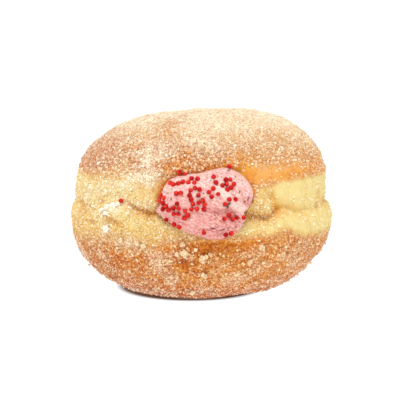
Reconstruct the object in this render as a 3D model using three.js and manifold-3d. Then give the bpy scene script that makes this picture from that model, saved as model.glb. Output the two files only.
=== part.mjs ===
// A filled yeast doughnut: a round bun slit open along its front, pink cream piped into the slit, red sugar
// pearls scattered over the cream, and lumps of sugar stuck to the crust below it.
//
// Millimetres. +Z is up, the slit faces -Y, and the origin is the middle of the flat spot the bun rests on.
// A place on the crust is a heading, the angle in degrees from the front towards +X, and a height.
import * as THREE from "three";
import { mergeVertices } from "three/addons/utils/BufferGeometryUtils.js";
import Module from "manifold-3d";

const wasm = await Module();
wasm.setup();

// The bun: two rounded halves that meet at a seam.
const CROWN = 60.8; // height of the bun in its middle
const SEAM = 31.8; // height of the seam where it runs level
const UPPER_HALF = { radius: 42.1, middle: 27.8, power: 2.79 };
const LOWER_HALF = { radius: 43.5, middle: 26.8, depth: 27.7, power: 2.37 };
const SHOULDER = { swell: 0.6, height: 46, reach: 6 };
const LEAN = 0.048; // rise of the crown towards +X, for each millimetre

// The crease at the seam is deep beside the slit, where the bun was cut, and all but gone at the back.
const CREASE = [
  { heading: -180, depth: 0.1, width: 2.6 },
  { heading: -100, depth: 0.3, width: 2.4 },
  { heading: -66, depth: 0.6, width: 1.6 },
  { heading: -48, depth: 0.3, width: 1.2 },
  { heading: -40, depth: 0.5, width: 1.2 },
  { heading: -33, depth: 1.3, width: 1.2 },
  { heading: -27, depth: 2.4, width: 1.2 },
  { heading: 20, depth: 2.6, width: 1.2 },
  { heading: 33, depth: 2.3, width: 1.2 },
  { heading: 40, depth: 1.3, width: 1.2 },
  { heading: 54, depth: 0.4, width: 1.3 },
  { heading: 74, depth: 1, width: 2.2 },
  { heading: 90, depth: 1.3, width: 2.4 },
  { heading: 120, depth: 0.4, width: 2.5 },
  { heading: 180, depth: 0.1, width: 2.6 },
];
const SEAM_WANDER = [
  { rise: 2.4, heading: -34, reach: 7.5 },
  { rise: -0.9, heading: 36, reach: 28 },
  { rise: -1, heading: 29, reach: 3.5 },
  { rise: 2, heading: 38, reach: 4.5 },
];
const WANDER_REACH = 9; // height over which the crust follows the wandering seam

// Short folds in the crust beside the seam, each from one place to another: [heading, height].
const FOLDS = [
  { depth: 0.9, width: 1.1, from: [-45, 30.6], to: [-35, 27.9] },
  { depth: 0.6, width: 1, from: [-56.5, 27.2], to: [-50, 27.6] },
  { depth: 0.8, width: 1, from: [-66, 32.3], to: [-60, 29.3] },
  { depth: 0.8, width: 1.5, from: [35, 32], to: [31.8, 36.5] },
  { depth: 0.45, width: 1.4, from: [62, 31.2], to: [65.5, 36] },
];
const SWELLINGS = [
  { swell: 0.8, heading: 25, spread: 8, height: 36.3, reach: 4.5 }, // cheek right of the slit
  { swell: 1.5, heading: -40.5, spread: 6.5, height: 31, reach: 2 }, // torn crumb left of it
  { swell: 0.7, heading: -4, spread: 16, height: 51, reach: 5 }, // brow over it
  { swell: 0.7, heading: 15.8, spread: 3.2, height: 46.6, reach: 1.7 }, // pleat beside the pinch
  { swell: 0.7, heading: 88, spread: 26, height: 25.5, reach: 5.5 }, // the base bulges at +X
  { swell: -0.9, heading: 82, spread: 26, height: 10, reach: 5 }, // and is drawn in under that
  { swell: 0.9, heading: -42, spread: 26, height: 5.5, reach: 5.5 }, // fuller foot at the left
  { swell: -2.2, heading: 30, spread: 20, height: 0.5, reach: 3 }, // the foot is lifted at the front right
];
const PINCH = { x: 11.5, z: 43.5, slope: 52, start: -3, level: 2.7, length: 9, depth: 1.5, width: 1.9 };
const LUMPINESS = [
  { swell: 0.3, turns: 3, phase: 0.7, pitch: 57 },
  { swell: 0.25, turns: 5, phase: 2.1, pitch: 41 },
  { swell: 0.18, turns: 8, phase: 4.4, pitch: 29 },
];
const LUMPINESS_FADE = { foot: 12, top: 8 }; // height over which it dies out at the foot and at the top

// The slit, seen from the front: how far its edge lies from its middle, in even steps from +X towards +Z.
const SLIT = { x: 1.3, z: 34.9 };
const SLIT_REACH = [
  13.7, 14.9, 14.3, 13.4, 12.4, 10.6, 9.7, 9.5, 10.3, 11.6, 13, 13.3,
  13.6, 13.3, 11.4, 10.1, 9.4, 9.2, 9.6, 10.5, 11.2, 12.2, 12.9, 13.3,
];
const SLIT_NOTCHES = [
  { out: -1.6, angle: -11, spread: 5.5 },
  { out: 1.3, angle: 188, spread: 5 },
];
const LIP = { drop: 1.8, inner: -1.5, outer: 3 };

// The cream: it bulges out of the slit, hangs over the lower lip and runs back past the middle of the bun.
// It was piped in two passes. The upper one ends in a step over a groove, and its crest slants down to +X.
const BULGE = { height: 4.2, edge: 0.9, sunk: -1.8, roundness: 2.4 };
// Where the cream hangs over the lower lip and is tucked in under the upper one, by the sine of the direction.
const OVERHANG = { width: 2.2, full: -0.4, none: 0.3 };
const TUCK = { from: 0.3, full: 0.75, depth: 3 };
const RIDGE = { x: 4, z: 34.6, droop: 0.05, wave: 0.35, pitch: 7 };
const STEP = { height: 0.8, reach: 0.9, from: -1, to: 7, least: 0.15 };
const GROOVE = { depth: 0.7, drop: 0.9, width: 1 };
const CREST = { height: 0.6, width: 1.2, from: [5, 40.2], to: [13, 33] };
const POCKET = { front: -36, back: 17, taper: 0.4, halfWidth: 21, halfHeight: 7.5, z: 33.5 };
const CLEARANCE = 0.35; // between the cream and the bun

// What is scattered on top. A pearl group says where its middle is and how far it reaches across and up.
const PEARL = { radius: 0.74, showing: 0.35, spacing: 1.86, seed: 29, tries: 400 };
const PEARL_GROUPS = [
  { x: -7.2, z: 41.8, across: 2.2, up: 0.9, count: 5 },
  { x: -7, z: 38.9, across: 1.2, up: 0.6, count: 2 },
  { x: -2, z: 42.6, across: 2.2, up: 1.2, count: 4 },
  { x: -1.8, z: 39.2, across: 2, up: 1.4, count: 5 },
  { x: -0.9, z: 36.9, across: 2.2, up: 0.8, count: 3 },
  { x: 4, z: 42.2, across: 1.2, up: 2, count: 3 },
  { x: 8, z: 41.4, across: 1.9, up: 1.5, count: 7 },
  { x: 3.6, z: 38.6, across: 1.8, up: 0.9, count: 4 },
  { x: 9.4, z: 36.2, across: 2.6, up: 1.2, count: 3 },
  { x: -12.4, z: 37.2, across: 0.7, up: 2.2, count: 4 },
  { x: -10.3, z: 34, across: 1, up: 0.9, count: 3 },
  { x: -7.4, z: 33.9, across: 1.4, up: 2.2, count: 7 },
  { x: -4.5, z: 32.6, across: 1.2, up: 1.2, count: 3 },
  { x: -0.6, z: 34.9, across: 2.4, up: 1.7, count: 9 },
  { x: 8.9, z: 31.4, across: 2.2, up: 0.9, count: 4 },
  { x: -10.4, z: 30.3, across: 1.2, up: 0.8, count: 1 },
  { x: -6.8, z: 28.6, across: 1.6, up: 1.2, count: 2 },
  { x: 1.2, z: 26.8, across: 1, up: 0.7, count: 1 },
  { x: 9.2, z: 26.9, across: 2.6, up: 0.7, count: 2 },
  { x: 12.7, z: 31.4, across: 0.5, up: 0.3, count: 1 },
  { x: -11.7, z: 37.4, across: 0.8, up: 2.4, count: 2 },
];
const STRAY_PEARLS = [[-35.2, 32.9], [-9.2, 44.6], [-6.9, 43.9], [12.9, 45.8]]; // heading, height
const STRAY_LIFT = 0.3;
const BIG_LUMPS = [
  { heading: -6.5, height: 20.3, size: 1.6 },
  { heading: 1.5, height: 18.7, size: 1.9 },
  { heading: -7.8, height: 23.2, size: 1.2 },
  { heading: -23.3, height: 22, size: 1.3 },
  { heading: 24.9, height: 21.9, size: 1.6 },
  { heading: 20.1, height: 17.2, size: 1.2 },
  { heading: 1.4, height: 13.2, size: 1.4 },
  { heading: -4.1, height: 6.7, size: 1.5 },
  { heading: -41.4, height: 31.7, size: 1.5 },
  { heading: -44.2, height: 31.3, size: 1.2 },
  { heading: -40.8, height: 25.6, size: 1.4 },
];
const LUMP_SHAPE = [1, 0.62, 0.8]; // width, thickness and height of a lump, as shares of its size
const SMALL_LUMPS = { count: 24, from: 0.7, to: 1.1, headings: [-62, 62], heights: [9, 24], seed: 7 };

// Fineness of the meshes.
const BUN = { columns: 88, rowsBelow: 16, rowsAbove: 18, frontCrowding: 0.38 };
const CREAM = { columns: 54, faceRows: 12, lapRows: 2, lapStep: 0.85, pocketRows: 6 };

const degrees = THREE.MathUtils.degToRad;
const { smoothstep, lerp, clamp, euclideanModulo } = THREE.MathUtils;
const bell = (t) => Math.exp(-t * t);
const headingFrom = (heading, centre) => euclideanModulo(heading - centre + 180, 360) - 180;

// 1 on a straight stroke from one place to another, fading to 0 round it.
function stroke([x, y], from, to, width) {
  const [alongX, alongY] = [to[0] - from[0], to[1] - from[1]];
  const length = Math.hypot(alongX, alongY);
  const run = ((x - from[0]) * alongX + (y - from[1]) * alongY) / length;
  const across = ((x - from[0]) * alongY - (y - from[1]) * alongX) / length;
  const pastEnd = Math.max(-run, run - length, 0);
  return bell(Math.hypot(across, pastEnd) / width);
}

// Numbers from 0 to 1 that look random and come out the same every time.
function drawsFrom(seed) {
  let state = seed;
  return () => {
    state = (Math.imul(state, 1664525) + 1013904223) >>> 0;
    return state / 2 ** 32;
  };
}

// ---- The bun's shape ----

function halfProfile(reach, power) {
  return Math.max(0, 1 - clamp(reach, 0, 1) ** power) ** (1 / power);
}

function upperRadius(height) {
  const { radius, middle, power } = UPPER_HALF;
  return radius * halfProfile((height - middle) / (CROWN - middle), power);
}

// The lower half swells out under the seam and tucks in to meet the upper half there.
function lowerRadius(height) {
  const { radius, middle, depth, power } = LOWER_HALF;
  if (height < middle) return radius * halfProfile((middle - height) / depth, power);
  const tuck = (1 - (upperRadius(SEAM) / radius) ** 2) * ((height - middle) / (SEAM - middle)) ** 2;
  return radius * Math.sqrt(1 - tuck);
}

const plainRadius = (height) => (height >= SEAM ? upperRadius(height) : lowerRadius(height));

// How far the crust at a heading has moved up or down with the wandering seam.
function wander(heading, height) {
  let rise = 0;
  for (const wave of SEAM_WANDER) {
    rise += wave.rise * bell(headingFrom(heading, wave.heading) / wave.reach);
  }
  return rise * bell((height - SEAM) / WANDER_REACH);
}

// Rounded swellings, which only ever add to or take from the plain radius gently.
function swelling(heading, height) {
  let swell = SHOULDER.swell * bell((height - SHOULDER.height) / SHOULDER.reach);
  for (const bump of SWELLINGS) {
    const across = headingFrom(heading, bump.heading) / bump.spread;
    swell += bump.swell * bell(Math.hypot(across, (height - bump.height) / bump.reach));
  }
  const { foot, top } = LUMPINESS_FADE;
  const fade = smoothstep(height, 0, foot) * (1 - smoothstep(height, CROWN - top, CROWN));
  for (const wave of LUMPINESS) {
    const round = Math.sin(degrees(heading * wave.turns) + wave.phase);
    swell += wave.swell * fade * round * Math.sin((2 * Math.PI * height) / wave.pitch + wave.phase);
  }
  return swell;
}

function creaseDepth(heading, height) {
  const next = Math.max(1, CREASE.findIndex((place) => place.heading >= heading));
  const [before, after] = [CREASE[next - 1], CREASE[next]];
  const share = (heading - before.heading) / (after.heading - before.heading);
  const width = lerp(before.width, after.width, share);
  return lerp(before.depth, after.depth, share) * Math.exp(-Math.abs(height - SEAM) / width);
}

function foldDepth(heading, z) {
  const spread = degrees(LOWER_HALF.radius); // millimetres of crust for each degree of heading
  const flat = ([at, height]) => [at * spread, height];
  let depth = 0;
  for (const fold of FOLDS) {
    depth += fold.depth * stroke(flat([heading, z]), flat(fold.from), flat(fold.to), fold.width);
  }
  return depth;
}

// A pinched valley that runs up and away from the slit's upper corner.
function pinchDepth(x, z) {
  const slope = degrees(PINCH.slope);
  const along = (x - PINCH.x) * Math.cos(slope) + (z - PINCH.z) * Math.sin(slope);
  const across = (x - PINCH.x) * Math.sin(slope) - (z - PINCH.z) * Math.cos(slope);
  const fade = smoothstep(along, PINCH.start, 0) * (1 - smoothstep(along, PINCH.level, PINCH.length));
  return PINCH.depth * fade * bell(across / PINCH.width);
}

function overhang(direction) {
  return OVERHANG.width * (1 - smoothstep(Math.sin(direction), OVERHANG.full, OVERHANG.none));
}

function tucked(direction) {
  return smoothstep(Math.sin(direction), TUCK.from, TUCK.full);
}

// From the slit's middle to its edge, in a direction measured from +X towards +Z, on a smooth curve.
function slitRadius(direction) {
  const count = SLIT_REACH.length;
  const step = (direction / (2 * Math.PI)) * count;
  const first = Math.floor(step);
  const t = step - first;
  const near = [-1, 0, 1, 2].map((shift) => SLIT_REACH[euclideanModulo(first + shift, count)]);
  const [before, start, end, after] = near;
  const turning = 2 * before - 5 * start + 4 * end - after;
  const twist = 3 * start - before - 3 * end + after;
  let reach = start + 0.5 * t * (end - before + turning * t + twist * t ** 2);
  for (const notch of SLIT_NOTCHES) {
    reach += notch.out * bell(headingFrom(THREE.MathUtils.radToDeg(direction), notch.angle) / notch.spread);
  }
  return reach - overhang(direction);
}

// The crust turns in towards the cream at the slit's edge.
function lipDrop(x, z) {
  const direction = Math.atan2(z - SLIT.z, x - SLIT.x);
  const outside = Math.hypot(x - SLIT.x, z - SLIT.z) - slitRadius(direction);
  return LIP.drop * (1 - smoothstep(outside, LIP.inner, LIP.outer));
}

function crustPoint(heading, height) {
  const angle = degrees(heading);
  const z = height + wander(heading, height);
  let radius = plainRadius(height) + swelling(heading, height) - creaseDepth(heading, height);
  radius -= foldDepth(heading, z);
  if (Math.cos(angle) > 0) {
    const x = radius * Math.sin(angle);
    radius -= lipDrop(x, z) + pinchDepth(x, z);
  }
  const x = radius * Math.sin(angle);
  const lean = LEAN * x * smoothstep(height, SEAM, CROWN);
  return new THREE.Vector3(x, -radius * Math.cos(angle), z + lean);
}

// The front of the crust before any crease is pressed into it, as a y for a place seen from the front.
function frontOfCrust(x, z) {
  const heading = THREE.MathUtils.radToDeg(Math.asin(x / plainRadius(z)));
  const radius = plainRadius(z) + swelling(heading, z);
  return -Math.sqrt(radius * radius - x * x);
}

// ---- The cream's shape ----

// How far the cream stands in front of the crust, a share of the way from its middle to its edge.
function creamHeight(direction, share, x, z) {
  const edge = lerp(BULGE.edge, BULGE.sunk, tucked(direction));
  const dome = Math.sqrt(Math.max(0, 1 - share ** BULGE.roundness));
  const wave = RIDGE.wave * Math.sin((2 * Math.PI * x) / RIDGE.pitch);
  const above = z - RIDGE.z - wave + RIDGE.droop * Math.max(0, x - RIDGE.x) ** 2;
  const step = STEP.height * smoothstep(above, -STEP.reach, STEP.reach);
  const groove = GROOVE.depth * bell((above + GROOVE.drop) / GROOVE.width);
  const strength = lerp(STEP.least, 1, smoothstep(x, STEP.from, STEP.to));
  const crest = CREST.height * stroke([x, z], CREST.from, CREST.to, CREST.width);
  return edge + (BULGE.height - edge + strength * (step - groove) + crest) * dome;
}

function creamFacePoint(direction, share) {
  const reach = (slitRadius(direction) + overhang(direction)) * share;
  const x = SLIT.x + reach * Math.cos(direction);
  const z = SLIT.z + reach * Math.sin(direction);
  return new THREE.Vector3(x, frontOfCrust(x, z) - creamHeight(direction, share, x, z), z);
}

// The back of the overhang lies along the crust, just clear of it. Under the upper lip it turns into the bun.
function creamLapPoint(direction, share) {
  const reach = slitRadius(direction) + overhang(direction) * share;
  const x = SLIT.x + reach * Math.cos(direction);
  const z = SLIT.z + reach * Math.sin(direction);
  const y = frontOfCrust(x, z) - CLEARANCE + tucked(direction) * (TUCK.depth - share);
  return new THREE.Vector3(x, y, z);
}

// Inside the bun the pocket widens from the slit to a flat lens, and closes at its back.
function pocketPoint(direction, depth, growth) {
  const widened = smoothstep(depth, 0, POCKET.taper);
  const closing = Math.sqrt(1 - Math.max(0, (depth - POCKET.taper) / (1 - POCKET.taper)) ** 2);
  const lens = Math.hypot(Math.cos(direction) / POCKET.halfWidth, Math.sin(direction) / POCKET.halfHeight);
  const reach = lerp(slitRadius(direction), 1 / lens, widened) * closing + growth;
  return new THREE.Vector3(
    lerp(SLIT.x, 0, widened) + reach * Math.cos(direction),
    lerp(POCKET.front, POCKET.back + growth, depth),
    lerp(SLIT.z, POCKET.z, widened) + reach * Math.sin(direction),
  );
}

// ---- Solids ----

function solidFrom(geometry) {
  geometry.deleteAttribute("normal");
  geometry.deleteAttribute("uv");
  const merged = mergeVertices(geometry);
  const vertProperties = new Float32Array(merged.attributes.position.array);
  const triVerts = new Uint32Array(merged.index.array);
  return new wasm.Manifold(new wasm.Mesh({ numProp: 3, vertProperties, triVerts }));
}

// A sphere's grid of points, each moved to place(turn, row): turn runs round from 0 to 1, row counts rings.
function shapedSphere(columns, rows, place) {
  const geometry = new THREE.SphereGeometry(1, columns, rows);
  const { position, uv } = geometry.attributes;
  for (let i = 0; i < position.count; i += 1) {
    const turn = (Math.round(uv.getX(i) * columns) % columns) / columns;
    const point = place(turn, Math.round(uv.getY(i) * rows));
    position.setXYZ(i, point.x, point.y, point.z);
  }
  return solidFrom(geometry);
}

function bunSolid() {
  const rows = 1 + BUN.rowsBelow + BUN.rowsAbove;
  return shapedSphere(BUN.columns, rows, (turn, row) => {
    if (row === 0) return new THREE.Vector3(0, 0, 0);
    if (row === rows) return new THREE.Vector3(0, 0, CROWN);
    const angle = (turn - 0.5) * 2 * Math.PI;
    const heading = THREE.MathUtils.radToDeg(angle - BUN.frontCrowding * Math.sin(angle));
    const below = (row - 1) / BUN.rowsBelow;
    const above = (row - 1 - BUN.rowsBelow) / BUN.rowsAbove;
    const ease = (share) => (1 - Math.cos(Math.PI * share)) / 2;
    const height = below <= 1 ? SEAM * ease(below) : lerp(SEAM, CROWN, ease(above));
    return crustPoint(heading, height);
  });
}

// What is cut out of the bun for the cream: the pocket, and the slit run out past the front of the bun.
function pocketCutter() {
  const far = -60;
  const rows = CREAM.pocketRows + 2;
  return shapedSphere(CREAM.columns, rows, (turn, row) => {
    const direction = turn * 2 * Math.PI;
    if (row === rows) return new THREE.Vector3(SLIT.x, far, SLIT.z);
    const depth = 1 - row / CREAM.pocketRows;
    const point = pocketPoint(direction, Math.max(0, depth), CLEARANCE);
    if (row === 0) return new THREE.Vector3(0, point.y, POCKET.z);
    if (depth < 0) point.y = far;
    return point;
  });
}

function creamBody() {
  const { columns, faceRows, lapRows, pocketRows } = CREAM;
  const rows = pocketRows + lapRows + faceRows + 1;
  return shapedSphere(columns, rows, (turn, row) => {
    const direction = turn * 2 * Math.PI;
    if (row === rows) return creamFacePoint(0, 0);
    if (row === 0) return new THREE.Vector3(0, POCKET.back, POCKET.z);
    if (row <= pocketRows) return pocketPoint(direction, 1 - row / pocketRows, 0);
    const lap = row - pocketRows;
    if (lap <= lapRows) return creamLapPoint(direction, CREAM.lapStep * (lap - 1));
    const share = Math.sin((Math.PI / 2) * (1 - (lap - lapRows - 1) / (faceRows + 1)));
    return creamFacePoint(direction, share);
  });
}

function pearlAt(point, radius) {
  const pearl = new THREE.IcosahedronGeometry(radius, 0);
  pearl.translate(point.x, point.y, point.z);
  return solidFrom(pearl);
}

// The middle of a pearl on the cream, or nothing where the cream ends or lies under the upper lip.
function pearlPoint(x, z) {
  const direction = Math.atan2(z - SLIT.z, x - SLIT.x);
  const reach = Math.hypot(x - SLIT.x, z - SLIT.z);
  const edge = slitRadius(direction) + overhang(direction);
  if (reach > edge - (PEARL.radius + CLEARANCE) * tucked(direction)) return null;
  const point = creamFacePoint(direction, reach / edge);
  point.y -= PEARL.radius * PEARL.showing;
  return point;
}

// Pearls lie in loose groups, as they fell.
function pearlPlaces() {
  const draw = drawsFrom(PEARL.seed);
  const places = [];
  for (const group of PEARL_GROUPS) {
    const wanted = places.length + group.count;
    for (let tries = 0; places.length < wanted && tries < PEARL.tries; tries += 1) {
      const turn = draw() * 2 * Math.PI;
      const share = Math.sqrt(draw());
      const x = group.x + group.across * share * Math.cos(turn);
      const point = pearlPoint(x, group.z + group.up * share * Math.sin(turn));
      const free = (other) => other.distanceTo(point) >= PEARL.spacing * PEARL.radius;
      if (point && places.every(free)) places.push(point);
    }
  }
  return places;
}

// A rough, flattened lump of sugar, half sunk into the crust.
function lumpAt(heading, height, size, draw) {
  const lump = new THREE.IcosahedronGeometry(size, 0);
  const point = crustPoint(heading, height);
  lump.rotateX(draw() * 2 * Math.PI);
  lump.rotateY(draw() * 2 * Math.PI);
  lump.scale(...LUMP_SHAPE);
  lump.rotateZ(degrees(heading));
  lump.translate(point.x, point.y, point.z);
  return solidFrom(lump);
}

function lumpSolids() {
  const draw = drawsFrom(SMALL_LUMPS.seed);
  const lumps = BIG_LUMPS.map(({ heading, height, size }) => lumpAt(heading, height, size, draw));
  for (let i = 0; i < SMALL_LUMPS.count; i += 1) {
    const heading = lerp(...SMALL_LUMPS.headings, (i + draw()) / SMALL_LUMPS.count);
    const height = lerp(...SMALL_LUMPS.heights, draw());
    lumps.push(lumpAt(heading, height, lerp(SMALL_LUMPS.from, SMALL_LUMPS.to, draw()), draw));
  }
  return lumps;
}

// The body with a pearl on it at each place where the pearl would be clear of its neighbour.
function withPearls(body, places, neighbour) {
  const isClear = (point) => neighbour.intersect(pearlAt(point, PEARL.radius + CLEARANCE)).isEmpty();
  return places.filter(isClear).reduce((whole, point) => whole.add(pearlAt(point, PEARL.radius)), body);
}

const bareCrust = bunSolid().subtract(pocketCutter());
const bareCream = creamBody();
const outwards = new THREE.Vector3(0, -STRAY_LIFT, 0);
const strays = STRAY_PEARLS.map(([heading, height]) => crustPoint(heading, height).add(outwards));
const lumpyCrust = lumpSolids().reduce((whole, lump) => whole.add(lump), bareCrust);
const dough = withPearls(lumpyCrust, strays, bareCream);
const cream = withPearls(bareCream, pearlPlaces(), bareCrust);

// ---- The scene graph ----

function meshOf(name, solid, material) {
  const { numProp, vertProperties, triVerts } = solid.getMesh();
  const geometry = new THREE.BufferGeometry();
  geometry.setAttribute("position", new THREE.BufferAttribute(vertProperties, numProp));
  geometry.setIndex(new THREE.BufferAttribute(triVerts, 1));
  geometry.computeVertexNormals();
  const mesh = new THREE.Mesh(geometry, material);
  mesh.name = name;
  return mesh;
}

const friedDough = new THREE.MeshStandardMaterial({ color: 0xe0ad62, roughness: 0.85, metalness: 0 });
const pinkCream = new THREE.MeshStandardMaterial({ color: 0xefb0b4, roughness: 0.55, metalness: 0 });

const doughnut = new THREE.Group();
doughnut.add(meshOf("dough", dough, friedDough));
doughnut.add(meshOf("cream", cream, pinkCream));

export default doughnut;
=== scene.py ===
"""A round yeast doughnut, slit open along its front, with pink cream and red sugar pearls in the slit.

Shapes are worked out in millimetres and turned to metres as each mesh is made. +Z is up and the slit
faces -Y. A place on the crust is a heading, in degrees from the front towards +X, and a height.
"""

import math

import bpy
import numpy as np
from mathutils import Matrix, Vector, noise


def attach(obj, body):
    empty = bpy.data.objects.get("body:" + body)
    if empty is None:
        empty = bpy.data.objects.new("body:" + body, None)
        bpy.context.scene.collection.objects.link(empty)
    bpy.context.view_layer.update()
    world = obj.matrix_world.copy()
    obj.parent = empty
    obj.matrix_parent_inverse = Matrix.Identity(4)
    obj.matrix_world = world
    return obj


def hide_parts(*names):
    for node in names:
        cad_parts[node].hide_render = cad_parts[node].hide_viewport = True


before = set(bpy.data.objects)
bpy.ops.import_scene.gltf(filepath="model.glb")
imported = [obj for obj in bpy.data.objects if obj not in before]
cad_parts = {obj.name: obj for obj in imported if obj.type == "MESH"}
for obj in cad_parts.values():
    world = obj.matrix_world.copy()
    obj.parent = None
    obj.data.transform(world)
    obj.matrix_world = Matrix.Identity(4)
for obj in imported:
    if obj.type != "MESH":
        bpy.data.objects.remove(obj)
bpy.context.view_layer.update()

# ---- The table and the light ----
# A plain white table in a white room, so light comes from every side, and a soft light high in front.
# The table glows a little, so that no real shadow shows on it; the shadow right under the bun is painted on,
# as a dark brown disc in its glow.
CAMERA_DISTANCE = 0.373
CAMERA_RISE = math.radians(8)
CAMERA_AIM = Vector((-0.0002, 0, 0.0305))
ROOM_LIGHT = (0.82, 0.86, 0.9, 1)
SKYLIGHT_BRIGHTNESS = 1.3
SKYLIGHT_WIDTH = math.radians(20)
SKYLIGHT_FROM = Vector((-0.15, -0.5, 1))
TABLE_HALF_WIDTH = 2.5
TABLE_GREY, TABLE_ROUGHNESS = (0.12, 0.12, 0.12, 1), 0.6
TABLE_GLOW, SHADOW_TINT = (1.06, 1.06, 1.06, 1), (0.1, 0.04, 0.02, 1)
SHADOW_MIDDLE, SHADOW_RADIUS, SHADOW_BLUR = (-0.0032, 0.0075, 0), 0.0236, 0.12
SHADOW_FADE = (0.012, 0.028)


def new_object(name, data):
    made = bpy.data.objects.new(name, data)
    bpy.context.scene.collection.objects.link(made)
    return made


camera_data = bpy.data.cameras.new("camera")
camera_data.lens = 100
camera_data.sensor_width = 36
camera = new_object("camera", camera_data)
towards_viewer = Vector((0, -math.cos(CAMERA_RISE), math.sin(CAMERA_RISE)))
camera.location = CAMERA_AIM + CAMERA_DISTANCE * towards_viewer
camera.rotation_euler = (-towards_viewer).to_track_quat("-Z", "Y").to_euler()
bpy.context.scene.camera = camera
bpy.context.scene.view_settings.view_transform = "Standard"

skylight_data = bpy.data.lights.new("skylight", "SUN")
skylight_data.energy = SKYLIGHT_BRIGHTNESS
skylight_data.angle = SKYLIGHT_WIDTH
skylight = new_object("skylight", skylight_data)
skylight.location = SKYLIGHT_FROM
skylight.rotation_euler = (-SKYLIGHT_FROM).to_track_quat("-Z", "Y").to_euler()


def new_material(name, roughness, shine=0.5):
    material = bpy.data.materials.new(name)
    material.use_nodes = True
    shader = material.node_tree.nodes["Principled BSDF"]
    shader.inputs["Roughness"].default_value = roughness
    shader.inputs["Specular IOR Level"].default_value = shine
    return material, shader


def mesh_object(name, points_mm, faces, material):
    mesh = bpy.data.meshes.new(name)
    mesh.from_pydata(np.asarray(points_mm) * 0.001, [], faces)
    mesh.materials.append(material)
    mesh.shade_smooth()
    return new_object(name, mesh)


def feed(tree, socket, value):
    """Give a socket another node's output, or a plain value."""
    if isinstance(value, bpy.types.NodeSocket):
        tree.links.new(value, socket)
    else:
        socket.default_value = value


def add_node(tree, kind, *values, **settings):
    """A node, given what goes into its inputs, in order or by name, and its settings."""
    made = tree.nodes.new(kind)
    for name, value in settings.items():
        if name in made.inputs:
            feed(tree, made.inputs[name], value)
        else:
            setattr(made, name, value)
    in_use = [socket for socket in made.inputs if socket.enabled]
    for socket, value in zip(in_use, values):
        feed(tree, socket, value)
    return made


def maths(tree, operation, a, b):
    return add_node(tree, "ShaderNodeMath", a, b, operation=operation).outputs[0]


def times(tree, a, b):
    return maths(tree, "MULTIPLY", a, b)


def ramp(tree, value, stops):
    """Colours or greys by place from 0 to 1: stops are (place, colour)."""
    made = add_node(tree, "ShaderNodeValToRGB", value)
    while len(made.color_ramp.elements) < len(stops):
        made.color_ramp.elements.new(0.5)
    for element, (place, colour) in zip(made.color_ramp.elements, stops):
        element.position = place
        element.color = colour
    return made.outputs["Color"]


def blend_colours(tree, share, a, b, blend_type="MIX"):
    made = add_node(tree, "ShaderNodeMix", share, a, b, data_type="RGBA", blend_type=blend_type)
    return next(socket for socket in made.outputs if socket.enabled)


room = bpy.data.worlds.new("room")
room.use_nodes = True
tree = room.node_tree
looked_at = add_node(tree, "ShaderNodeLightPath").outputs["Is Camera Ray"]
room_colour = blend_colours(tree, looked_at, ROOM_LIGHT, TABLE_GLOW)
feed(tree, tree.nodes["Background"].inputs["Color"], room_colour)
bpy.context.scene.world = room

white_table_painted_shadow, table_shader = new_material("white_table_painted_shadow", TABLE_ROUGHNESS)
table_shader.inputs["Base Color"].default_value = TABLE_GREY
tree = white_table_painted_shadow.node_tree
# Painted shadow: within a disc under the bun the glow gives way to a dark brown tint, which fades back to the
# glow behind the bun.
on_table = add_node(tree, "ShaderNodeTexCoord").outputs["Object"]
away = add_node(tree, "ShaderNodeVectorMath", on_table, SHADOW_MIDDLE, operation="DISTANCE")
clear = maths(tree, "DIVIDE", away.outputs["Value"], SHADOW_RADIUS * 2)
glow_with_painted_shadow = ramp(tree, clear, [(0.5, SHADOW_TINT), (0.5 + SHADOW_BLUR / 2, TABLE_GLOW)])
along_y = add_node(tree, "ShaderNodeSeparateXYZ", on_table).outputs["Y"]
behind = add_node(tree, "ShaderNodeMapRange", along_y, *SHADOW_FADE, interpolation_type="SMOOTHSTEP")
glow_with_painted_shadow = blend_colours(tree, behind.outputs[0], glow_with_painted_shadow, TABLE_GLOW)
feed(tree, table_shader.inputs["Emission Color"], glow_with_painted_shadow)
table_shader.inputs["Emission Strength"].default_value = 1
edge = TABLE_HALF_WIDTH * 1000
table_corners = [(-edge, -edge, 0), (edge, -edge, 0), (edge, edge, 0), (-edge, edge, 0)]
table = mesh_object("table", table_corners, [(0, 1, 2, 3)], white_table_painted_shadow)

# ---- The fried bun ----
# Yeast dough fried on both sides: a brown crown and base, and a pale band between them where it floated
# clear of the oil. It is slit along the front, and the two halves meet round the sides in a crease.
CROWN = 60.8
SEAM = 31.8
UPPER_RADIUS, UPPER_MIDDLE, UPPER_POWER = 42.1, 27.8, 2.79
LOWER_RADIUS, LOWER_MIDDLE, LOWER_DEPTH, LOWER_POWER = 43.5, 26.8, 27.7, 2.37
SHOULDER_SWELL, SHOULDER_HEIGHT, SHOULDER_REACH = 0.6, 46, 6
LEAN = 0.048
CREASE = np.array([  # heading, depth, width
    (-180, 0.1, 2.6), (-100, 0.3, 2.4), (-66, 0.6, 1.6), (-48, 0.3, 1.2), (-40, 0.5, 1.0), (-33, 1.3, 1.0),
    (-28, 2.3, 1.1), (-17, 2.6, 1.2), (20, 2.6, 1.2), (33, 2.3, 1.2), (39, 1.4, 1.1), (47, 1.1, 1.1),
    (54, 0.4, 1.3), (62, 0.4, 1.6), (74, 1.0, 2.2), (90, 1.3, 2.4), (120, 0.4, 2.5), (180, 0.1, 2.6),
])
SEAM_WANDER = ((2.4, -34, 7.5), (-0.9, 36, 28), (-1.0, 29, 3.5), (2.0, 38, 4.5))  # rise, heading, reach
WANDER_REACH = 9
SEAM_JITTER = ((0.28, 13, 1.0), (0.2, 29, 2.3), (0.14, 47, 0.4))  # size, turns, phase
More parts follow.
